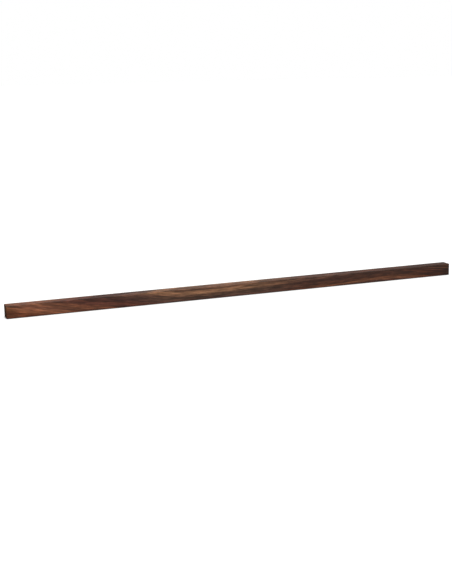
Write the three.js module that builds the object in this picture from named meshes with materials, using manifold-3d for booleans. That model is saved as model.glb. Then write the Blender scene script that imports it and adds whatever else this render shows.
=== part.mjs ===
// Straight, square-section hardwood grab rail with blind fixings.
//
// One solid bar of dark hardwood is held from behind by M8 bolts that run into
// brass screw-in inserts. The inserts sit in blind bores along the middle of
// the rear face, just below its surface, so that nothing shows on the faces
// that a hand meets.
//
// Frame: millimetres, +Z up, +X along the rail, the front (grip) face towards
// -Y and the fixing face towards +Y. The origin is at the middle of the
// underside.

import * as THREE from 'three';
import { mergeVertices } from 'three/addons/utils/BufferGeometryUtils.js';
import Module from 'manifold-3d';

const wasm = await Module();
wasm.setup();

// ---------------------------------------------------------------------------
// Driving dimensions, mm
// ---------------------------------------------------------------------------

const RAIL_LENGTH = 1500;
const RAIL_DEPTH = 38; // front to back
const RAIL_HEIGHT = 38;
const ARRIS_RADIUS = 1.5; // the four long edges, eased for the hand
const ARRIS_STEPS = 6; // facets round each long edge
const END_EASE = 0.6; // the edges round each square-cut end

const FIXING_COUNT = 5;
const FIXING_END_DISTANCE = 100; // from each end to the first fixing
const FIXING_HEIGHT = RAIL_HEIGHT / 2;

const INSERT_DIAMETER = 12.7; // over the outer wood thread
const INSERT_LENGTH = 16;
const INSERT_RECESS = 0.5; // how far the insert sits below the rear face
const INSERT_CHAMFER = 0.7; // both outer ends
const INSERT_LEAD_IN = 1.0; // countersink at the mouth, for the bolt
const BOLT_BORE_DIAMETER = 8.2; // an M8 bolt over its thread, plus 0.1 a side
const SLOT_WIDTH = 1.8; // screwdriver slot across the outer end
const SLOT_DEPTH = 2.4;

const SEAT_GAP = 0.3; // between the insert and the wood it is screwed into
const BORE_DEPTH = 22; // full-width depth of the blind bore
const DRILL_POINT_ANGLE = 118; // included angle of the drill's point, degrees
const BORE_MOUTH_CHAMFER = 0.6; // keeps the wood from lifting at the mouth

const ROUND_STEPS = 32; // facets round each bore and insert

// ---------------------------------------------------------------------------
// Derived positions
// ---------------------------------------------------------------------------

const REAR = RAIL_DEPTH / 2;
const FIXING_PITCH =
  (RAIL_LENGTH - 2 * FIXING_END_DISTANCE) / (FIXING_COUNT - 1);
const fixingX = (i) => -RAIL_LENGTH / 2 + FIXING_END_DISTANCE + i * FIXING_PITCH;

// ---------------------------------------------------------------------------
// Geometry to solid and back
// ---------------------------------------------------------------------------

function toSolid(geometry) {
  const bare = geometry.clone();
  bare.deleteAttribute('normal');
  bare.deleteAttribute('uv');
  const merged = mergeVertices(bare, 1e-4);
  return new wasm.Manifold(
    new wasm.Mesh({
      numProp: 3,
      vertProperties: new Float32Array(merged.attributes.position.array),
      triVerts: new Uint32Array(merged.index.array),
    }),
  );
}

function toGeometry(solid) {
  const mesh = solid.getMesh();
  const geometry = new THREE.BufferGeometry();
  geometry.setAttribute(
    'position',
    new THREE.BufferAttribute(new Float32Array(mesh.vertProperties), 3),
  );
  geometry.setIndex(new THREE.BufferAttribute(new Uint32Array(mesh.triVerts), 1));
  geometry.computeVertexNormals();
  return geometry;
}

// A profile of [radius, distance] pairs turned about the Y axis. The distance
// is measured along +Y.
function turned(profile) {
  return new THREE.LatheGeometry(
    profile.map(([r, y]) => new THREE.Vector2(r, y)),
    ROUND_STEPS,
  );
}

// ---------------------------------------------------------------------------
// Rail bar
// ---------------------------------------------------------------------------

// The section, drawn about its middle, inset by the ease of the end edges,
// which the extrusion's bevel grows back to full size.
function sectionShape() {
  const w = RAIL_DEPTH / 2 - END_EASE;
  const h = RAIL_HEIGHT / 2 - END_EASE;
  const r = ARRIS_RADIUS - END_EASE;
  const shape = new THREE.Shape();
  shape.moveTo(-w + r, -h);
  shape.lineTo(w - r, -h);
  shape.absarc(w - r, -h + r, r, -Math.PI / 2, 0, false);
  shape.lineTo(w, h - r);
  shape.absarc(w - r, h - r, r, 0, Math.PI / 2, false);
  shape.lineTo(-w + r, h);
  shape.absarc(-w + r, h - r, r, Math.PI / 2, Math.PI, false);
  shape.lineTo(-w, -h + r);
  shape.absarc(-w + r, -h + r, r, Math.PI, 1.5 * Math.PI, false);
  return shape;
}

function plainBar() {
  const bar = new THREE.ExtrudeGeometry(sectionShape(), {
    depth: RAIL_LENGTH - 2 * END_EASE,
    steps: 1,
    curveSegments: ARRIS_STEPS,
    bevelEnabled: true,
    bevelThickness: END_EASE,
    bevelSize: END_EASE,
    bevelOffset: 0,
    bevelSegments: 2,
  });
  bar.translate(0, 0, -(RAIL_LENGTH - 2 * END_EASE) / 2);
  // The extrusion runs along +Z with the section in X and Y. Turning (x, y, z)
  // to (z, x, y) lays it along +X, with the section in Y and Z.
  bar.applyMatrix4(
    new THREE.Matrix4().set(0, 0, 1, 0, 1, 0, 0, 0, 0, 1, 0, 0, 0, 0, 0, 1),
  );
  bar.translate(0, 0, RAIL_HEIGHT / 2);
  return bar;
}

// The blind bore: a chamfered mouth, a straight wall and the drill's cone.
function boreCutter() {
  const r = INSERT_DIAMETER / 2 + SEAT_GAP;
  const c = BORE_MOUTH_CHAMFER;
  const cone = r / Math.tan(THREE.MathUtils.degToRad(DRILL_POINT_ANGLE / 2));
  const over = 1; // runs past the face, so that the cut is clean
  return turned([
    [0, REAR - BORE_DEPTH - cone],
    [r, REAR - BORE_DEPTH],
    [r, REAR - c],
    [r + c + over, REAR + over],
    [0, REAR + over],
  ]);
}

function railBar() {
  let solid = toSolid(plainBar());
  for (let i = 0; i < FIXING_COUNT; i++) {
    const cutter = boreCutter();
    cutter.translate(fixingX(i), 0, FIXING_HEIGHT);
    solid = solid.subtract(toSolid(cutter));
  }
  return toGeometry(solid);
}

// ---------------------------------------------------------------------------
// Threaded insert, drawn about its own axis with its outer end at y = 0
// ---------------------------------------------------------------------------

function threadedInsert() {
  const r = INSERT_DIAMETER / 2;
  const b = BOLT_BORE_DIAMETER / 2;
  const c = INSERT_CHAMFER;
  const l = INSERT_LEAD_IN;
  const body = toSolid(
    turned([
      [b, -INSERT_LENGTH],
      [r - c, -INSERT_LENGTH],
      [r, -INSERT_LENGTH + c],
      [r, -c],
      [r - c, 0],
      [b + l, 0],
      [b, -l],
      [b, -INSERT_LENGTH],
    ]),
  );
  const slot = new THREE.BoxGeometry(
    SLOT_WIDTH,
    2 * SLOT_DEPTH,
    INSERT_DIAMETER + 4,
  );
  return toGeometry(body.subtract(toSolid(slot)));
}

// ---------------------------------------------------------------------------
// Materials
// ---------------------------------------------------------------------------

const hardwood = () =>
  new THREE.MeshStandardMaterial({
    color: 0x593e32,
    roughness: 0.42,
    metalness: 0,
  });

const brass = () =>
  new THREE.MeshStandardMaterial({
    color: 0xb5914c,
    roughness: 0.32,
    metalness: 1,
  });

// ---------------------------------------------------------------------------
// Assembly
// ---------------------------------------------------------------------------

const grabRail = new THREE.Group();

const bar = new THREE.Mesh(railBar(), hardwood());
bar.name = 'rail_bar';
grabRail.add(bar);

for (let i = 0; i < FIXING_COUNT; i++) {
  const insert = new THREE.Mesh(threadedInsert(), brass());
  insert.name = `threaded_insert_${i + 1}`;
  insert.position.set(fixingX(i), REAR - INSERT_RECESS, FIXING_HEIGHT);
  grabRail.add(insert);
}

export default grabRail;
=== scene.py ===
import math

import bmesh
import bpy
from mathutils import Matrix, Vector


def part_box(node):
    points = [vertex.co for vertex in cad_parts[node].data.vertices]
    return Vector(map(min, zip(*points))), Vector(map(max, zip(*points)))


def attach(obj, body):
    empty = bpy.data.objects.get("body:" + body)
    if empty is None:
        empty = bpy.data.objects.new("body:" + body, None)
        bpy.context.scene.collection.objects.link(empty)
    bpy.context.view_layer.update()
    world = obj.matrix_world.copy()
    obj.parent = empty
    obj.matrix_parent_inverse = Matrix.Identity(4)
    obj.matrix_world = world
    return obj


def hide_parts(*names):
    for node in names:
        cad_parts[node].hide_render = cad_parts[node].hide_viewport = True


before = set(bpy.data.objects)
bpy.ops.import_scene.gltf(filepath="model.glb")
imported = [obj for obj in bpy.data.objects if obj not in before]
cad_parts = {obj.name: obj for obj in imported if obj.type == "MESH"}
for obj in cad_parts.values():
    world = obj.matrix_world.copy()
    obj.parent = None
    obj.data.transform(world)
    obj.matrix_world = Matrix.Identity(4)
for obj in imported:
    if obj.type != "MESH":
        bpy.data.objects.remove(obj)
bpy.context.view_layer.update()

MM = 0.001

# The rail's box and the inserts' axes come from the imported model.
rail_low, rail_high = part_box("rail_bar")
HALF = 0.5 * (rail_high[1] - rail_low[1]) / MM  # half the section's side, mm
LENGTH = (rail_high[0] - rail_low[0]) / MM
X_LEFT = rail_low[0] / MM
INSERTS = sorted(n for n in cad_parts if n.startswith("threaded_insert_"))
AXES_X = []
for name in INSERTS:
    low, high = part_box(name)
    AXES_X.append(0.5 * (low[0] + high[0]) / MM)
INSERT_FACE_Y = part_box(INSERTS[0])[1][1] / MM
INSERT_LENGTH = (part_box(INSERTS[0])[1][1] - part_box(INSERTS[0])[0][1]) / MM

# Sizes that the box can't give, in mm. They repeat the CAD model's.
ARRIS = 1.5
END_EASE = 0.6
BORE_R = 6.65
BORE_DEPTH = 22.0
MOUTH = 0.6
INSERT_R = 6.35
SLOT_WIDTH = 1.8
SLOT_DEPTH = 2.4


# ---------------------------------------------------------------------------
# Camera and studio
# ---------------------------------------------------------------------------


def make_camera():
    """A camera low in front of the rail and to its left, as in the photograph."""
    data = bpy.data.cameras.new("camera")
    data.sensor_width = 36.0
    data.lens = 65.83
    data.clip_end = 200.0
    cam = bpy.data.objects.new("camera", data)
    bpy.context.scene.collection.objects.link(cam)
    right = Vector((0.93262635, -0.36025877, -0.02053573))
    down = Vector((-0.09225736, -0.18304051, -0.97876695))
    ahead = Vector((0.34885051, 0.91471842, -0.20394493))
    turn = Matrix((right, -down, -ahead)).transposed().to_4x4()
    cam.matrix_world = Matrix.Translation((-1.23317, -3.08446, 0.69971)) @ turn
    bpy.context.scene.camera = cam


HORIZON = 0.15  # what the backdrop gives the rail, low down and overhead
ZENITH = 0.62
FLOOR_BOUNCE = 0.45
FLOOR_GLOW = 0.78
KEY = 2.66
TOP = 1.30
REAR_FILL = 1.1
CONTACT = 5.5  # how far the rail's contact shadow reaches, mm


def make_studio():
    scene = bpy.context.scene
    scene.view_settings.view_transform = "Standard"
    scene.view_settings.look = "None"

    # The backdrop and the floor look white, but send less light to the rail than
    # white ones would, so that its shading comes from the lamps.
    world = bpy.data.worlds.new("studio")
    scene.world = world
    world.use_nodes = True
    tree = world.node_tree
    tree.nodes.clear()
    out = tree.nodes.new("ShaderNodeOutputWorld")
    both = tree.nodes.new("ShaderNodeMixShader")
    seen = tree.nodes.new("ShaderNodeLightPath").outputs["Is Camera Ray"]
    tree.links.new(seen, both.inputs[0])
    for slot in (1, 2):
        back = tree.nodes.new("ShaderNodeBackground")
        back.inputs["Color"].default_value = (1.0, 1.0, 1.0, 1.0)
        back.inputs["Strength"].default_value = 1.0
        tree.links.new(back.outputs[0], both.inputs[slot])
        if slot == 1:  # dim at the horizon, lighter overhead
            height = tree.nodes.new("ShaderNodeSeparateXYZ")
            way = tree.nodes.new("ShaderNodeTexCoord").outputs["Generated"]
            tree.links.new(way, height.inputs[0])
            level = tree.nodes.new("ShaderNodeMapRange")
            tree.links.new(height.outputs[2], level.inputs["Value"])
            for key, value in zip(
                ("From Min", "From Max", "To Min", "To Max"), (0.1, 0.8, HORIZON, ZENITH)
            ):
                level.inputs[key].default_value = value
            tree.links.new(level.outputs["Result"], back.inputs["Strength"])
    tree.links.new(both.outputs[0], out.inputs["Surface"])

    mesh = bpy.data.meshes.new("floor")
    bm = bmesh.new()
    bmesh.ops.create_circle(bm, cap_ends=True, segments=96, radius=60.0)
    bm.to_mesh(mesh)
    bm.free()
    floor = bpy.data.objects.new("floor", mesh)
    floor.location = (0, 0, rail_low[2] - 0.0004)
    scene.collection.objects.link(floor)
    mat = bpy.data.materials.new("floor_white")
    mat.use_nodes = True
    tree = mat.node_tree
    tree.nodes.clear()
    out = tree.nodes.new("ShaderNodeOutputMaterial")
    both = tree.nodes.new("ShaderNodeMixShader")
    seen = tree.nodes.new("ShaderNodeLightPath").outputs["Is Camera Ray"]
    tree.links.new(seen, both.inputs[0])
    # A thin contact shadow, under the rail's lower edges only.
    near = tree.nodes.new("ShaderNodeAmbientOcclusion")
    near.samples = 8
    near.inputs["Distance"].default_value = CONTACT * MM
    open_air = tree.nodes.new("ShaderNodeMapRange")
    tree.links.new(near.outputs["AO"], open_air.inputs["Value"])
    open_air.inputs["From Min"].default_value = 0.35
    open_air.inputs["From Max"].default_value = 0.95
    glow = tree.nodes.new("ShaderNodeMath")
    glow.operation = "MULTIPLY"
    tree.links.new(open_air.outputs["Result"], glow.inputs[0])
    glow.inputs[1].default_value = FLOOR_GLOW
    for slot, albedo in ((1, FLOOR_BOUNCE), (2, 0.26)):
        p = tree.nodes.new("ShaderNodeBsdfPrincipled")
        p.inputs["Base Color"].default_value = (albedo, albedo, albedo, 1)
        p.inputs["Roughness"].default_value = 1.0
        p.inputs["Specular IOR Level"].default_value = 0.0
        p.inputs["Emission Color"].default_value = (1, 1, 1, 1)
        p.inputs["Emission Strength"].default_value = 0.0
        if slot == 2:
            tree.links.new(glow.outputs[0], p.inputs["Emission Strength"])
        tree.links.new(p.outputs[0], both.inputs[slot])
    tree.links.new(both.outputs[0], out.inputs["Surface"])
    mesh.materials.append(mat)

    def soft(name, source, strength, spread, glossy=True):
        """A broad, even light that comes from the direction of source."""
        data = bpy.data.lights.new(name, "SUN")
        data.energy = strength
        data.angle = math.radians(spread)
        light = bpy.data.objects.new(name, data)
        light.location = source
        light.rotation_mode = "QUATERNION"
        light.rotation_quaternion = Vector(source).to_track_quat("Z", "Y")
        light.visible_glossy = glossy
        scene.collection.objects.link(light)

    soft("key", (0.42, -0.71, 0.57), KEY, 45)
    soft("overhead", (0.10, 0.15, 1.0), TOP, 70)
    soft("rear_fill", (0.15, 0.75, 0.60), REAR_FILL, 70, glossy=False)


# ---------------------------------------------------------------------------
# Node helpers
# ---------------------------------------------------------------------------


class Graph:
    """A small writer for shader nodes. Every argument is a socket or a number."""

    def __init__(self, name):
        self.material = bpy.data.materials.new(name)
        self.material.use_nodes = True
        self.tree = self.material.node_tree
        self.tree.nodes.clear()

    def new(self, kind):
        return self.tree.nodes.new(kind)

    def put(self, value, socket):
        if isinstance(value, bpy.types.NodeSocket):
            self.tree.links.new(value, socket)
        else:
            socket.default_value = value

    def math(self, op, a, b=0.0, c=0.0, clamp=False):
        n = self.new("ShaderNodeMath")
        n.operation = op
        n.use_clamp = clamp
        for value, socket in zip((a, b, c), n.inputs):
            self.put(value, socket)
        return n.outputs[0]

    def add(self, a, b):
        return self.math("ADD", a, b)

    def sub(self, a, b):
        return self.math("SUBTRACT", a, b)

    def mul(self, a, b):
        return self.math("MULTIPLY", a, b)

    def vector(self, x, y, z):
        n = self.new("ShaderNodeCombineXYZ")
        for value, socket in zip((x, y, z), n.inputs):
            self.put(value, socket)
        return n.outputs[0]

    def step(self, value, low, high, out_low=0.0, out_high=1.0):
        """A smooth step from out_low to out_high as value goes from low to high."""
        n = self.new("ShaderNodeMapRange")
        n.interpolation_type = "SMOOTHSTEP"
        self.put(value, n.inputs["Value"])
        n.inputs["From Min"].default_value = low
        n.inputs["From Max"].default_value = high
        n.inputs["To Min"].default_value = out_low
        n.inputs["To Max"].default_value = out_high
        return n.outputs["Result"]

    def noise(self, vector, detail=2.0, roughness=0.5, distortion=0.0):
        n = self.new("ShaderNodeTexNoise")
        n.noise_dimensions = "3D"
        self.put(vector, n.inputs["Vector"])
        n.inputs["Scale"].default_value = 1.0
        n.inputs["Detail"].default_value = detail
        n.inputs["Roughness"].default_value = roughness
        n.inputs["Distortion"].default_value = distortion
        return n.outputs["Fac"]

    def mix(self, factor, a, b, mode="MIX"):
        n = self.new("ShaderNodeMix")
        n.data_type = "RGBA"
        n.blend_type = mode
        n.clamp_factor = True
        self.put(factor, n.inputs[0])
        self.put(a, n.inputs[6])
        self.put(b, n.inputs[7])
        return n.outputs[2]

    def ramp(self, value, stops, interpolation="CARDINAL"):
        """stops are (position from 0 to 1, linear colour)."""
        n = self.new("ShaderNodeValToRGB")
        self.put(value, n.inputs[0])
        cr = n.color_ramp
        cr.interpolation = interpolation
        while len(cr.elements) > 1:
            cr.elements.remove(cr.elements[-1])
        cr.elements[0].position = stops[0][0]
        cr.elements[0].color = (*stops[0][1], 1.0)
        for place, colour in stops[1:]:
            cr.elements.new(place).color = (*colour, 1.0)
        return n.outputs[0]

    def curve(self, value, points):
        n = self.new("ShaderNodeFloatCurve")
        self.put(value, n.inputs["Value"])
        line = n.mapping.curves[0]
        line.points[0].location = points[0]
        line.points[-1].location = points[-1]
        for p in points[1:-1]:
            line.points.new(*p)
        for p in line.points:
            p.handle_type = "AUTO"
        n.mapping.update()
        return n.outputs[0]

    def finish(self, colour, roughness, height=None, **fixed):
        out = self.new("ShaderNodeOutputMaterial")
        p = self.new("ShaderNodeBsdfPrincipled")
        self.put(colour, p.inputs["Base Color"])
        self.put(roughness, p.inputs["Roughness"])
        if height is not None:
            b = self.new("ShaderNodeBump")
            b.inputs["Strength"].default_value = 1.0
            b.inputs["Distance"].default_value = MM  # heights are in mm
            self.put(height, b.inputs["Height"])
            self.tree.links.new(b.outputs["Normal"], p.inputs["Normal"])
        for key, value in fixed.items():
            p.inputs[key.replace("_", " ")].default_value = value
        self.tree.links.new(p.outputs[0], out.inputs["Surface"])
        return self.material


def linear(r, g, b):
    """Linear colour of an 8-bit sRGB one."""
    out = []
    for v in (r, g, b):
        v /= 255.0
        out.append(v / 12.92 if v <= 0.04045 else ((v + 0.055) / 1.055) ** 2.4)
    return out


# ---------------------------------------------------------------------------
# Wood
# ---------------------------------------------------------------------------

# The board is made of layers, one inside the other, round a pith that lies
# behind and below it. u is the height in the layers, in mm. The grain rises
# and falls along the board, so the layers run out of the faces: GRAIN is how
# far they have sunk, in mm, at each distance from the left end.
PITH_Y, PITH_Z = 60.0, -110.0
GRAIN = [
    (0, 0.0), (110, 19.5), (180, 30.4), (330, 53.4), (430, 69.8), (500, 79.2),
    (567, 83.9), (633, 84.6), (700, 82.8), (800, 79.8), (900, 78.0),
    (1000, 74.1), (1100, 70.8), (1200, 65.4), (1283, 65.0), (1400, 73.4),
    (1500, 83.6),
]  # fmt: skip

# The layers' colours, 8-bit sRGB, by height u. They change along the board:
# red-brown in the left third, then a golden band, then dark brown.
LEFT = [
    (-25, 86, 54, 43), (-15, 96, 62, 47), (0, 84, 50, 40), (12, 98, 61, 45),
    (20, 95, 58, 42), (31, 121, 78, 58), (42, 97, 64, 51), (50, 110, 72, 55),
    (60, 84, 55, 45), (67, 88, 57, 48), (73, 69, 46, 39), (80, 80, 54, 47),
    (86, 68, 49, 42), (93, 92, 66, 56), (99, 91, 65, 54), (108, 124, 89, 67),
    (125, 98, 70, 55),
]  # fmt: skip
MIDDLE = [
    (30, 96, 62, 49), (42, 97, 64, 51), (50, 109, 72, 55), (60, 84, 55, 45),
    (66, 80, 53, 44), (80, 89, 64, 55), (92, 75, 56, 47), (100, 91, 67, 54),
    (107, 119, 87, 67), (115, 101, 73, 58), (120, 105, 76, 61),
]  # fmt: skip
RIGHT = [
    (25, 84, 56, 46), (40, 84, 55, 45), (48, 97, 64, 50), (61, 81, 55, 45),
    (69, 85, 59, 49), (75, 101, 68, 52), (83, 74, 50, 40), (91, 70, 49, 41),
    (99, 66, 46, 39), (108, 82, 59, 50), (113, 78, 55, 45), (118, 88, 60, 48),
]  # fmt: skip
U_LOW, U_SPAN = -25.0, 150.0

# Painted light and shade on the upper side: how much lighter or darker it is painted, along the board.
TOP_PAINTED_LIGHT = [
    (0, 0.98), (110, 1.0), (220, 1.25), (330, 1.02), (520, 0.90), (700, 1.06),
    (900, 1.08), (1100, 1.34), (1250, 1.40), (1400, 0.95), (1500, 0.88),
]  # fmt: skip

# Single dark lenses and light flecks in the figure: distance from the left end,
# height u, half length and half width, all in mm, and how much lighter or
# darker than the layers round it.
FIGURE = [
    (20, 33, 45, 3.6, -0.28),
    (85, 36, 30, 3.5, 0.12),
    (112, 46, 60, 14, 0.12),
    (115, 40, 26, 3.0, 0.22),
    (132, 29, 34, 4.5, -0.40),
    (158, 52, 32, 3.6, -0.60),
    (190, 44, 55, 7.0, -0.30),
    (250, 77, 36, 4.2, -0.42),
    (340, 89, 46, 3.6, -0.16),
    (400, 71, 52, 4.6, 0.48),
    (398, 91, 32, 3.5, 0.32),
    (425, 105, 34, 2.6, -0.28),
    (515, 95, 30, 2.6, 0.24),
    (565, 116, 80, 4.2, -0.32),
    (550, 97, 55, 3.4, 0.22),
    (590, 91, 100, 2.6, -0.24),
    (790, 95, 110, 2.6, -0.14),
    (715, 100, 60, 3.0, 0.10),
    (600, 113, 65, 5.0, -0.16),
    (672, 90, 46, 2.2, 0.26),
    (830, 110, 66, 6.0, -0.46),
    (825, 106, 30, 4.0, -0.20),
    (775, 90, 40, 3.5, 0.18),
    (930, 93, 60, 6.0, 0.13),
    (1075, 92, 34, 12, 0.16),
    (925, 104, 40, 5.0, 0.12),
    (975, 93, 95, 16, 0.13),
    (1160, 75, 60, 4.5, -0.20),
    (1230, 95, 110, 6.0, 0.14),
    (1300, 70, 60, 3.0, -0.20),
    (1225, 70, 45, 3.5, -0.22),
    (1425, 83, 44, 5.0, -0.34),
    (1430, 106, 95, 7.0, -0.50),
    (1380, 94, 70, 1.6, 0.60),
    (1355, 91, 36, 1.5, -0.32),
    (1360, 87, 40, 1.5, 0.55),
    (1385, 84, 56, 1.8, -0.35),
    (1465, 112, 40, 1.8, -0.48),
    (1462, 108, 42, 1.7, 1.40),
    (1458, 105, 40, 1.5, -0.42),
    (1462, 101, 42, 1.5, 0.95),
    (1462, 98, 40, 1.6, -0.42),
]

LIGHT_GAIN = 1.0
GLOSS_LIFT = 0.0115
LAYER_CONTRAST = 1.22
LAYER_MEAN = (0.094, 0.046, 0.031)


def layer_stops(table):
    """The ramp's stops, with what the finish reflects taken off each colour."""
    stops = []
    for u, *rgb in table:
        c = [max(v / LIGHT_GAIN - GLOSS_LIFT, 0.004) for v in linear(*rgb)]
        c = [m * (v / m) ** LAYER_CONTRAST for v, m in zip(c, LAYER_MEAN)]
        stops.append(((u - U_LOW) / U_SPAN, c))
    return stops


def wood(name, raw=False, end=False):
    """Dark streaked rosewood, cut from one solid. raw is the bare wood inside a bore, and end the end grain."""
    g = Graph(name)
    tc = g.new("ShaderNodeTexCoord").outputs["Object"]
    split = g.new("ShaderNodeSeparateXYZ")
    g.put(tc, split.inputs[0])
    x = g.math("MULTIPLY_ADD", split.outputs[0], 1000.0, -X_LEFT)
    y = g.mul(split.outputs[1], 1000.0)
    z = g.mul(split.outputs[2], 1000.0)

    # Height in the layers.
    drift = g.noise(g.vector(g.mul(x, 1 / 150), g.mul(y, 1 / 26), g.mul(z, 1 / 26)), 2.0)
    drift = g.mul(g.sub(drift, 0.5), 7.0)
    sunk = g.curve(g.mul(x, 1 / 1500.0), [(a / 1500.0, b / 100.0) for a, b in GRAIN])
    dy, dz = g.sub(y, PITH_Y), g.sub(z, PITH_Z)
    rho = g.math("SQRT", g.add(g.mul(dy, dy), g.mul(dz, dz)))
    front_low = math.hypot(-HALF - PITH_Y, 0 - PITH_Z)
    front_high = math.hypot(-HALF - PITH_Y, 2 * HALF - PITH_Z)
    stretch = 2 * HALF / (front_high - front_low)
    u = g.math("MULTIPLY_ADD", g.sub(rho, front_low), stretch, g.mul(sunk, 100.0))
    u = g.add(u, drift)

    # Where one run of layers gives way to the next, streak by streak.
    fray = g.noise(g.vector(g.mul(x, 1 / 300), g.mul(u, 1 / 5.0), g.mul(y, 1 / 20)), 2.0)
    xf = g.math("MULTIPLY_ADD", g.sub(fray, 0.5), 60.0, x)
    xr = g.math("MULTIPLY_ADD", g.sub(fray, 0.5), 170.0, x)
    t = g.math("MULTIPLY_ADD", u, 1 / U_SPAN, -U_LOW / U_SPAN)
    colour = g.ramp(t, layer_stops(LEFT))
    colour = g.mix(g.step(xr, 335, 515), colour, g.ramp(t, layer_stops(MIDDLE)))
    colour = g.mix(g.step(xr, 785, 965), colour, g.ramp(t, layer_stops(RIGHT)))

    lift = 1.0
    for place, layer, long, wide, strength in FIGURE:
        along = g.mul(g.sub(xf, place), 1 / long)
        over = g.mul(g.sub(u, layer), 1 / wide)
        far = g.add(g.mul(along, along), g.mul(over, over))
        lift = g.math("MULTIPLY_ADD", g.math("EXPONENT", g.mul(far, -1.0)), strength, lift)

    # Broad streaks, fine streaks, dark veins and open pores, all along the grain.
    broad = g.noise(g.vector(g.mul(x, 1 / 62), g.mul(u, 1 / 3.9), g.mul(y, 1 / 9)), 1.0, 0.6)
    fine = g.noise(g.vector(g.mul(x, 1 / 34), g.mul(u, 1 / 2.6), g.mul(y, 1 / 5)), 4.0, 0.7)
    vein = g.noise(g.vector(g.mul(x, 1 / 330), g.mul(u, 1 / 3.4), g.mul(y, 1 / 15)), 2.0, 0.5, 0.25)
    vein = g.math("ABSOLUTE", g.sub(vein, 0.5))
    vein = g.step(vein, 0.0, 0.035, 1.0, 0.0)
    grain = g.noise(g.vector(g.mul(x, 1 / 9), g.mul(u, 1 / 0.32), g.mul(y, 1 / 0.32)), 2.0, 0.6)
    pores = g.step(grain, 0.60, 0.72)
    fibre = g.noise(g.vector(g.mul(x, 1 / 22), g.mul(u, 1 / 0.5), g.mul(y, 1 / 0.5)), 3.0, 0.6)

    if end:
        # Growth rings, cut square across, and the open ends of the pores. End
        # grain drinks more of the finish, which leaves it darker and duller.
        rings = g.noise(g.vector(g.mul(u, 1 / 1.5), g.mul(y, 1 / 70), 0.0), 3.0, 0.6)
        patchy = g.noise(g.vector(g.mul(x, 1 / 62), g.mul(u, 1 / 6), g.mul(y, 1 / 9)), 2.0)
        dots = g.noise(g.vector(0.0, g.mul(y, 1 / 0.42), g.mul(z, 1 / 0.42)), 1.0)
        pores = g.step(dots, 0.60, 0.68)
        shade = g.mul(lift, g.step(rings, 0.30, 0.70, 0.72, 1.24))
        shade = g.mul(shade, g.step(patchy, 0.3, 0.7, 0.85, 1.15))
        shade = g.mul(shade, g.math("MULTIPLY_ADD", pores, -0.45, 1.0))
    else:
        shade = g.mul(lift, g.step(broad, 0.27, 0.73, 0.61, 1.40))
        shade = g.mul(shade, g.step(fine, 0.30, 0.70, 0.48, 1.53))
        shade = g.mul(shade, g.step(fibre, 0.2, 0.8, 0.93, 1.07))
        shade = g.mul(shade, g.math("MULTIPLY_ADD", vein, -0.30, 1.0))
        shade = g.mul(shade, g.math("MULTIPLY_ADD", pores, -0.38, 1.0))

    grey = g.new("ShaderNodeCombineColor")
    for socket in grey.inputs:
        g.put(shade, socket)
    colour = g.mix(1.0, colour, grey.outputs[0], "MULTIPLY")
    warm = g.noise(g.vector(g.mul(x, 1 / 90), g.mul(u, 1 / 2.6), g.mul(y, 1 / 12)), 2.0)
    colour = g.mix(
        g.step(warm, 0.50, 0.72, 0.0, 0.42),
        colour,
        g.mix(1.0, colour, (1.16, 0.90, 0.84, 1.0), "MULTIPLY"),
    )
    duller = g.mix(1.0, colour, (1.0, 1.07, 1.11, 1.0), "MULTIPLY")
    colour = g.mix(g.step(xf, 110, 250, 1.0, 0.0), colour, duller)
    browner = g.mix(1.0, colour, (1.0, 0.84, 0.70, 1.0), "MULTIPLY")
    colour = g.mix(g.step(xf, 1290, 1440), colour, browner)
    if end:
        colour = g.mix(1.0, colour, (0.52, 0.57, 0.34, 1.0), "MULTIPLY")
    else:
        # Painted light and shade: the top face is painted lighter or darker along the board.
        top_light_factor = g.curve(g.mul(xf, 1 / 1500.0), [(a / 1500.0, b / 2) for a, b in TOP_PAINTED_LIGHT])
        top_face_mask = g.mul(g.step(y, -18.0, -12.0), g.step(z, 2 * HALF - 8.0, 2 * HALF - 1.5))
        top_light_factor = g.math("MULTIPLY_ADD", g.math("MULTIPLY_ADD", top_light_factor, 2.0, -1.0), top_face_mask, 1.0)
        top_light_colour = g.new("ShaderNodeCombineColor")
        for socket in top_light_colour.inputs:
            g.put(top_light_factor, socket)
        colour = g.mix(1.0, colour, top_light_colour.outputs[0], "MULTIPLY")

    # The long faces are darker and browner near the two ends.
    if not end:
        end_darkening = g.add(g.step(xf, 2, 34, 0.75, 0.0), g.step(xf, 1446, 1488, 0.0, 1.0))
        colour = g.mix(end_darkening, colour, g.mix(1.0, colour, (0.54, 0.52, 0.34, 1.0), "MULTIPLY"))

    # The eased edges: how near a point is to the nearest long edge, in mm.
    to_y = g.sub(HALF, g.math("ABSOLUTE", y))
    to_z = g.sub(HALF, g.math("ABSOLUTE", g.sub(z, HALF)))
    nearness = g.math("MAXIMUM", to_y, to_z)
    edge_wobble = g.noise(g.vector(g.mul(x, 1 / 35), g.mul(y, 1 / 6), g.mul(z, 1 / 6)), 3.0, 0.6)
    nearness = g.math("MULTIPLY_ADD", g.sub(edge_wobble, 0.5), 1.6, nearness)
    edge = g.step(nearness, 0.3, 2.2, 1.0, 0.0)
    # Darker along all four long edges, within about 2 mm of them.
    colour = g.mix(g.mul(edge, 0.75), colour, g.mix(1.0, colour, (0.84, 0.76, 0.74, 1.0), "MULTIPLY"))

    # Painted shade: the lowest few mm of the bar are painted darker.
    bottom_shade = g.step(g.add(z, g.mul(g.sub(edge_wobble, 0.5), 3.0)), 0.5, 7.5, 1.0, 0.0)
    colour = g.mix(bottom_shade, colour, g.mix(1.0, colour, (0.76, 0.74, 0.73, 1.0), "MULTIPLY"))

    if raw:
        colour = g.mix(0.55, colour, (0.17, 0.085, 0.05, 1.0))
        return g.finish(colour, 0.85, g.mul(grain, 0.05), Specular_IOR_Level=0.15)

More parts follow.
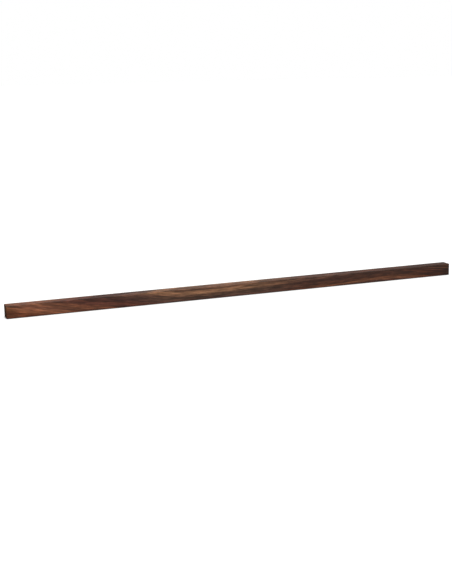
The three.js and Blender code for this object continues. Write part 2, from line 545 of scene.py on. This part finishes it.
    cloud = g.noise(g.vector(g.mul(x, 1 / 60), g.mul(y, 1 / 18), g.mul(z, 1 / 18)), 3.0, 0.6)
    rough = g.step(cloud, 0.3, 0.7, 0.44, 0.54)
    rough = g.math("MULTIPLY_ADD", g.sub(fibre, 0.5), 0.14, rough)
    rough = g.math("MULTIPLY_ADD", pores, 0.18, rough)
    rough = g.math("MULTIPLY_ADD", edge, -0.07, rough)
    height = g.mul(pores, -0.045)
    height = g.math("MULTIPLY_ADD", fibre, 0.012, height)
    height = g.math("MULTIPLY_ADD", fine, 0.02, height)
    if end:
        rough = g.add(rough, 0.25)
        return g.finish(colour, rough, height, Specular_IOR_Level=0.03)
    return g.finish(colour, rough, height, Specular_IOR_Level=0.18)


# ---------------------------------------------------------------------------
# Brass
# ---------------------------------------------------------------------------


def brass(name):
    """Turned brass, a little dulled, with painted shade darker down in the threads and the slot."""
    g = Graph(name)
    tc = g.new("ShaderNodeTexCoord").outputs["Object"]
    split = g.new("ShaderNodeSeparateXYZ")
    g.put(tc, split.inputs[0])
    x = g.mul(split.outputs[0], 1000.0)
    y = g.mul(split.outputs[1], 1000.0)
    z = g.mul(split.outputs[2], 1000.0)
    r = g.math("SQRT", g.add(g.mul(x, x), g.mul(z, z)))
    turning = g.math("SINE", g.mul(r, 2 * math.pi / 0.22))
    blotch = g.noise(g.vector(g.mul(x, 0.5), g.mul(y, 0.5), g.mul(z, 0.5)), 4.0, 0.6)
    speck = g.noise(g.vector(g.mul(x, 3.0), g.mul(y, 3.0), g.mul(z, 3.0)), 3.0, 0.6)
    colour = g.ramp(
        blotch,
        [(0.30, (0.30, 0.165, 0.050)), (0.48, (0.52, 0.33, 0.105)), (0.70, (0.62, 0.42, 0.155))],
        "EASE",
    )
    # Painted shade: darker the deeper it lies inside the bore.
    recess_shade = g.step(y, -2.6, -0.1, 0.45, 1.0)
    grey = g.new("ShaderNodeCombineColor")
    for socket in grey.inputs:
        g.put(recess_shade, socket)
    colour = g.mix(1.0, colour, grey.outputs[0], "MULTIPLY")
    rough = g.step(speck, 0.3, 0.7, 0.24, 0.40)
    rough = g.math("MULTIPLY_ADD", g.step(blotch, 0.3, 0.5, 1.0, 0.0), 0.16, rough)
    height = g.mul(turning, 0.0022)
    height = g.math("MULTIPLY_ADD", speck, 0.004, height)
    return g.finish(colour, rough, height, Metallic=1.0)


# ---------------------------------------------------------------------------
# Rail mesh
# ---------------------------------------------------------------------------

FACE_STEPS = 16  # across each flat face
ARC_STEPS = 4  # from the middle of an arris to the flat face
SIDE = FACE_STEPS + 2 * ARC_STEPS
ROUND = 4 * FACE_STEPS  # points round a bore, one for each point of its patch
PATCH = HALF - ARRIS  # half the patch of the rear face that holds a bore
# Outward and travel directions of the four long faces, as (y, z).
FACES = [
    ((-1, 0), (0, 1)),  # front, going up
    ((0, 1), (1, 0)),  # top, going back
    ((1, 0), (0, -1)),  # rear, going down
    ((0, -1), (-1, 0)),  # underside, going forward
]


def arris_radius(corner, x):
    """The hand-eased radius of one long edge, which isn't quite even along it."""
    a = math.sin(x / 61.0 + 2.1 * corner) * 0.5 + math.sin(x / 23.0 + 4.0 * corner) * 0.3
    a += math.sin(x / 147.0 + 1.3 * corner) * 0.6
    return ARRIS + 0.11 * a


def section(x, inset, patch):
    """The ring of points round the bar at x, going front, top, rear, underside."""
    ring = []
    for f, (n, t) in enumerate(FACES):
        h = HALF - inset
        r0 = arris_radius(f, x) - inset
        r1 = arris_radius((f + 1) % 4, x) - inset
        if patch:
            r0 = r1 = ARRIS  # a bore's patch is square
        for k in range(ARC_STEPS):
            p = -math.pi / 4 * (1 - k / ARC_STEPS)
            ring.append((n, t, h - r0 + r0 * math.cos(p), -(h - r0) + r0 * math.sin(p)))
        for k in range(FACE_STEPS):
            b = -(h - r0) + (2 * h - r0 - r1) * k / FACE_STEPS
            ring.append((n, t, h, b))
        for k in range(ARC_STEPS):
            p = math.pi / 4 * k / ARC_STEPS
            ring.append((n, t, h - r1 + r1 * math.cos(p), (h - r1) + r1 * math.sin(p)))
    return [(n[0] * a + t[0] * b, n[1] * a + t[1] * b + HALF) for n, t, a, b in ring]


def stations():
    """(x, inset, in a bore's patch) of each ring of points along the bar."""
    half = LENGTH / 2
    out = []
    for k in range(5):
        a = math.pi / 2 * k / 4
        out.append((-half + END_EASE * (1 - math.cos(a)), END_EASE * (1 - math.sin(a)), False))
    fixed = [-half + END_EASE, -half + 8.0]
    for x in AXES_X:
        fixed += [x - PATCH + 2 * PATCH * k / FACE_STEPS for k in range(FACE_STEPS + 1)]
    fixed += [-250.0, 250.0, half - 8.0, half - END_EASE]
    fixed = sorted(fixed)
    xs = []
    for a, b in zip(fixed, fixed[1:]):
        n = max(1, round((b - a) / 26.0))
        xs += [a + (b - a) * k / n for k in range(1, n + 1)]
    for x in xs[:-1]:
        near = min(abs(x - c) for c in AXES_X)
        out.append((x, 0.0, near <= PATCH + 1e-6))
    for k in reversed(range(5)):
        a = math.pi / 2 * k / 4
        out.append((half - END_EASE * (1 - math.cos(a)), END_EASE * (1 - math.sin(a)), False))
    return out


# The sheet that the surface is laid out on, in mm. Each long face is cut in
# three, so that twelve strips fill a square.
SHEET = 524.0
CUTS = (-250.0, 250.0)
STRIP = 2 * HALF + 2.4


def build_rail():
    bm = bmesh.new()
    uv = bm.loops.layers.uv.new("OFBake")
    rows = stations()
    rings = []
    for x, inset, patch in rows:
        rings.append([bm.verts.new((x, y, z)) for y, z in section(x, inset, patch)])
    total = 4 * SIDE

    # Distance round the section from the middle of the arris, for the sheet.
    def across(ring, face):
        pts = [ring[(face * SIDE + k) % total].co for k in range(SIDE + 1)]
        out = [0.0]
        for a, b in zip(pts, pts[1:]):
            out.append(out[-1] + (b - a).yz.length)
        return out

    def add(verts, places, material=0, smooth=True):
        f = bm.faces.new(verts)
        f.material_index = material
        f.smooth = smooth
        for loop, (a, b) in zip(f.loops, places):
            loop[uv].uv = (a / SHEET, b / SHEET)
        return f

    spans = [[across(r, f) for f in range(4)] for r in rings]
    patches = {}  # bore number: the rows of its patch
    for i, ((x0, *_), (x1, *_)) in enumerate(zip(rows, rows[1:])):
        mid = 0.5 * (x0 + x1)
        third = 0 if mid < CUTS[0] else (1 if mid < CUTS[1] else 2)
        low = (-LENGTH / 2, CUTS[0], CUTS[1])[third]
        bore = [c for c, cx in enumerate(AXES_X) if abs(mid - cx) < PATCH]
        if bore:
            patches.setdefault(bore[0], []).append(i)
        for f in range(4):
            strip = (f * 3 + third) * STRIP + 1.2
            for k in range(SIDE):
                if f == 2 and bore and ARC_STEPS <= k < ARC_STEPS + FACE_STEPS:
                    continue
                a, b = f * SIDE + k, (f * SIDE + k + 1) % total
                verts = (rings[i][a], rings[i][b], rings[i + 1][b], rings[i + 1][a])
                s0, s1 = spans[i][f], spans[i + 1][f]
                places = [
                    (2 + x0 - low, strip + s0[k]),
                    (2 + x0 - low, strip + s0[k + 1]),
                    (2 + x1 - low, strip + s1[k + 1]),
                    (2 + x1 - low, strip + s1[k]),
                ]
                add(verts, places)

    # The two ends, each a grid between its four sides.
    last = 12 * STRIP + 2.4
    for which, ring in ((0, rings[0]), (1, rings[-1])):
        x = ring[0].co.x
        side = [[ring[(f * SIDE + k) % total] for k in range(SIDE + 1)] for f in range(4)]
        front, top, rear, under = side
        grid = {}
        for i in range(SIDE + 1):  # front to rear
            for j in range(SIDE + 1):  # bottom to top
                if i == 0:
                    grid[i, j] = front[j]
                elif i == SIDE:
                    grid[i, j] = rear[SIDE - j]
                elif j == 0:
                    grid[i, j] = under[SIDE - i]
                elif j == SIDE:
                    grid[i, j] = top[i]
        for i in range(1, SIDE):
            for j in range(1, SIDE):
                s, t = i / SIDE, j / SIDE
                p = (
                    grid[0, j].co * (1 - s)
                    + grid[SIDE, j].co * s
                    + grid[i, 0].co * (1 - t)
                    + grid[i, SIDE].co * t
                    - grid[0, 0].co * (1 - s) * (1 - t)
                    - grid[SIDE, 0].co * s * (1 - t)
                    - grid[0, SIDE].co * (1 - s) * t
                    - grid[SIDE, SIDE].co * s * t
                )
                grid[i, j] = bm.verts.new((x, p.y, p.z))
        for i in range(SIDE):
            for j in range(SIDE):
                q = [grid[i, j], grid[i + 1, j], grid[i + 1, j + 1], grid[i, j + 1]]
                if which == 0:
                    q.reverse()
                add(q, [(2 + 41 * which + HALF + v.co.y, last + v.co.z) for v in q], 2)

    # The bores: from the patch's square edge, by rings, to the mouth and down.
    for c, members in patches.items():
        i0, i1 = members[0], members[-1] + 1
        cx = AXES_X[c]
        first = 2 * SIDE + ARC_STEPS
        edge = [rings[i][first] for i in range(i0, i1)]
        edge += [rings[i1][first + k] for k in range(FACE_STEPS)]
        edge += [rings[i][first + FACE_STEPS] for i in range(i1, i0, -1)]
        edge += [rings[i0][first + k] for k in range(FACE_STEPS, 0, -1)]
        angles = [math.atan2(v.co.z - HALF, v.co.x - cx) for v in edge]
        third = 0 if cx < CUTS[0] else (1 if cx < CUTS[1] else 2)
        low = (-LENGTH / 2, CUTS[0], CUTS[1])[third]
        strip = (2 * 3 + third) * STRIP + 1.2
        arc = spans[i0][2][ARC_STEPS]

        def ring_at(radius, y, blend=0.0):
            out = []
            for v, a in zip(edge, angles):
                px, pz = cx + radius * math.cos(a), HALF + radius * math.sin(a)
                out.append(
                    bm.verts.new(
                        (px + (v.co.x - px) * blend, y, pz + (v.co.z - pz) * blend)
                    )
                )
            return out

        def flat_place(v):
            return (2 + v.co.x - low, strip + arc + (HALF + PATCH) - v.co.z)

        def join(outer, inner, place, material=0):
            n = len(outer)
            for k in range(n):
                q = [outer[k], outer[(k + 1) % n], inner[(k + 1) % n], inner[k]]
                add(q, place(q, k), material)

        flat = lambda q, k: [flat_place(v) for v in q]
        r1 = ring_at(12.2, HALF, 0.55)
        r2 = ring_at(10.2, HALF, 0.18)
        r3 = ring_at(8.6, HALF)
        mouth = ring_at(BORE_R + MOUTH, HALF)
        join(edge, r1, flat)
        join(r1, r2, flat)
        join(r2, r3, flat)
        join(r3, mouth, flat)

        # The wall is unrolled; the chamfer and the cone are laid flat.
        left = 86 + 44 * c
        n = len(edge)
        throat = ring_at(BORE_R, HALF - MOUTH)
        disc = (left + 9, last + 33)

        def on_disc(q, k, at=disc):
            return [(at[0] + (v.co.x - cx), at[1] + (v.co.z - HALF)) for v in q]

        join(mouth, throat, on_disc, 1)
        above, depth = throat, HALF - MOUTH
        levels = [HALF - MOUTH - 2.4 * k for k in range(1, 9)] + [HALF - BORE_DEPTH]
        for y in levels:
            below = ring_at(BORE_R, y)

            def wall(q, k, y0=depth, y1=y):
                s = 2 * math.pi * BORE_R / n
                return [
                    (left + s * k, last + HALF - y0),
                    (left + s * (k + 1), last + HALF - y0),
                    (left + s * (k + 1), last + HALF - y1),
                    (left + s * k, last + HALF - y1),
                ]

            join(above, below, wall, 1)
            above, depth = below, y
        cone = BORE_R / math.tan(math.radians(59))
        pit = (left + 28, last + 33)
        on_pit = lambda q, k: on_disc(q, k, pit)
        for part in (0.66, 0.33):
            below = ring_at(BORE_R * part, HALF - BORE_DEPTH - cone * (1 - part))
            join(above, below, on_pit, 1)
            above = below
        tip = bm.verts.new((cx, HALF - BORE_DEPTH - cone, HALF))
        for k in range(n):
            q = [above[k], above[(k + 1) % n], tip]
            add(q, on_pit(q, k), 1)

    unused = [v for v in bm.verts if not v.link_faces]  # inside the bores' patches
    bmesh.ops.delete(bm, geom=unused, context="VERTS")
    bmesh.ops.recalc_face_normals(bm, faces=bm.faces)
    for e in bm.edges:  # crisp edges at each bore's mouth and bottom
        if len(e.link_faces) == 2 and e.calc_face_angle() > math.radians(28):
            e.smooth = False
    mesh = bpy.data.meshes.new("rail_timber")
    bm.to_mesh(mesh)
    bm.free()
    mesh.transform(Matrix.Scale(MM, 4))
    mesh.materials.append(wood("rosewood_satin"))
    mesh.materials.append(wood("rosewood_raw", raw=True))
    mesh.materials.append(wood("rosewood_end", end=True))
    rail = bpy.data.objects.new("rail_timber", mesh)
    bpy.context.scene.collection.objects.link(rail)
    even = rail.modifiers.new("even_normals", "WEIGHTED_NORMAL")
    even.keep_sharp = True
    even.weight = 60
    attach(rail, "root")
    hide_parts("rail_bar")
    return rail


# ---------------------------------------------------------------------------
# Insert mesh
# ---------------------------------------------------------------------------


def tooth(phase, sharp):
    """Height of a thread's profile, 0 at the root and 1 at the crest."""
    p = phase % 1.0
    w = abs(p - 0.5) * 2  # 0 at the crest's middle, 1 at the root's middle
    return min(1.0, max(0.0, (1.0 - sharp - w) / (1.0 - 2 * sharp)))


def threaded_wall(bm, root, crest, pitch, sharp, around, y_low, y_high, chamfer):
    """A wall cut with a one-start thread. Its rows follow the helix, and are held at both ends. Returns the rings of points, by row."""
    marks = [0.0, 0.5 - 0.5 * (1 - sharp), 0.5 - 0.5 * sharp, 0.5 + 0.5 * sharp, 0.5 + 0.5 * (1 - sharp)]
    rows = []
    turns = int((y_high - y_low) / pitch) + 3
    for k in range(-1, turns):
        for m in marks:
            rows.append((k + m) * pitch)
    grid = []
    for h in rows:
        row = []
        for i in range(around + 1):
            y = y_low + h - pitch + pitch * i / around
            kept = min(max(y, y_low), y_high)
            phase = (kept - y_low) / pitch - i / around
            r = root + (crest - root) * tooth(phase, sharp)
            r = chamfer(r, kept)
            row.append((r, kept, 2 * math.pi * i / around))
        grid.append(row)
    # Rows wholly at one end are the same ring, so only the last of them stays.
    while len(grid) > 1 and all(abs(p[1] - y_low) < 1e-9 for p in grid[1]):
        grid.pop(0)
    while len(grid) > 1 and all(abs(p[1] - y_high) < 1e-9 for p in grid[-2]):
        grid.pop()
    return [
        [bm.verts.new((r * math.cos(a), y, r * math.sin(a))) for r, y, a in row[:-1]]
        for row in grid
    ], len(marks)


def insert_mesh():
    """One brass insert about its own axis, its outer end at y = 0: wood thread outside, M8 thread inside. The
    slot across is cut in build_inserts.
    """
    bm = bmesh.new()
    around = 48
    low, high = -INSERT_LENGTH, 0.0

    def outer_chamfer(r, y):
        near = min(y - low, high - y)
        return min(r, INSERT_R - 0.75 + near * 1.0) if near < 0.75 else r

    def inner_chamfer(r, y):
        near = min(y - low, high - y)
        return max(r, 4.25 - near * 0.9)

    outer, step = threaded_wall(bm, 5.3, INSERT_R, 1.95, 0.10, around, low, high, outer_chamfer)
    inner, step_in = threaded_wall(bm, 4.0, 3.324, 1.25, 0.14, around, low, high, inner_chamfer)

    def skin(grid, marks):
        for a, b in zip(grid, grid[1:]):
            for i in range(around):
                # One turn of the helix joins each row's end to the start of the row one pitch on.
                j = i + 1
                if j < around:
                    quad = [a[i], a[j], b[j], b[i]]
                else:
                    ia, ib = grid.index(a) + marks, grid.index(b) + marks
                    ca = grid[min(ia, len(grid) - 1)][0]
                    cb = grid[min(ib, len(grid) - 1)][0]
                    quad = [a[i], ca, cb, b[i]]
                quad = list(dict.fromkeys(quad))
                if len(quad) > 2:
                    try:
                        bm.faces.new(quad)
                    except ValueError:
                        pass

    skin(outer, step)
    skin(inner, step_in)
    bmesh.ops.remove_doubles(bm, verts=bm.verts, dist=1e-5)
    bmesh.ops.dissolve_degenerate(bm, edges=bm.edges, dist=1e-5)
    # The two ring-shaped ends, between the outer wall's rim and the inner one's.
    rims = {v for e in bm.edges if e.is_boundary for v in e.verts}
    for y in (low, high):
        ring = [{}, {}]
        for v in rims:
            if abs(v.co.y - y) < 1e-4:
                turn = math.atan2(v.co.z, v.co.x) / (2 * math.pi) * around
                ring[math.hypot(v.co.x, v.co.z) < 4.8][round(turn) % around] = v
        wide, narrow = ring
        for k in range(around):
            j = (k + 1) % around
            bm.faces.new((wide[k], wide[j], narrow[j], narrow[k]))
    bmesh.ops.recalc_face_normals(bm, faces=bm.faces)
    mesh = bpy.data.meshes.new("insert")
    bm.to_mesh(mesh)
    bm.free()
    return mesh


def build_inserts():
    body = insert_mesh()
    work = bpy.data.objects.new("insert_work", body)
    bpy.context.scene.collection.objects.link(work)

    cut = bpy.data.meshes.new("slot_cut")
    bm = bmesh.new()
    bmesh.ops.create_cube(bm, size=1.0)
    bm.to_mesh(cut)
    bm.free()
    cut.transform(Matrix.Diagonal((SLOT_WIDTH, 2 * SLOT_DEPTH, 3 * INSERT_R, 1.0)))
    cutter = bpy.data.objects.new("slot_cutter", cut)
    bpy.context.scene.collection.objects.link(cutter)
    slot = work.modifiers.new("slot", "BOOLEAN")
    slot.operation = "DIFFERENCE"
    slot.solver = "EXACT"
    slot.object = cutter
    bpy.context.view_layer.update()
    dg = bpy.context.evaluated_depsgraph_get()
    done = bpy.data.meshes.new_from_object(work.evaluated_get(dg), depsgraph=dg)
    bpy.data.objects.remove(work)
    bpy.data.objects.remove(cutter)

    bm = bmesh.new()
    bm.from_mesh(done)
    bmesh.ops.remove_doubles(bm, verts=bm.verts, dist=1e-5)
    for f in bm.faces:
        f.smooth = True
    for e in bm.edges:
        e.smooth = not (len(e.link_faces) == 2 and e.calc_face_angle() > math.radians(24))
    bm.to_mesh(done)
    bm.free()
    done.transform(Matrix.Scale(MM, 4))
    metal = brass("turned_brass")
    done.materials.clear()
    done.materials.append(metal)
    for k, (node, x) in enumerate(zip(INSERTS, AXES_X)):
        mesh = done.copy()
        mesh.name = f"insert_{k + 1}"
        piece = bpy.data.objects.new(f"insert_{k + 1}", mesh)
        piece.location = (x * MM, INSERT_FACE_Y * MM, HALF * MM)
        bpy.context.scene.collection.objects.link(piece)
        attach(piece, "root")
        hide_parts(node)


make_camera()
make_studio()
build_rail()
build_inserts()

bpy.context.view_layer.update()
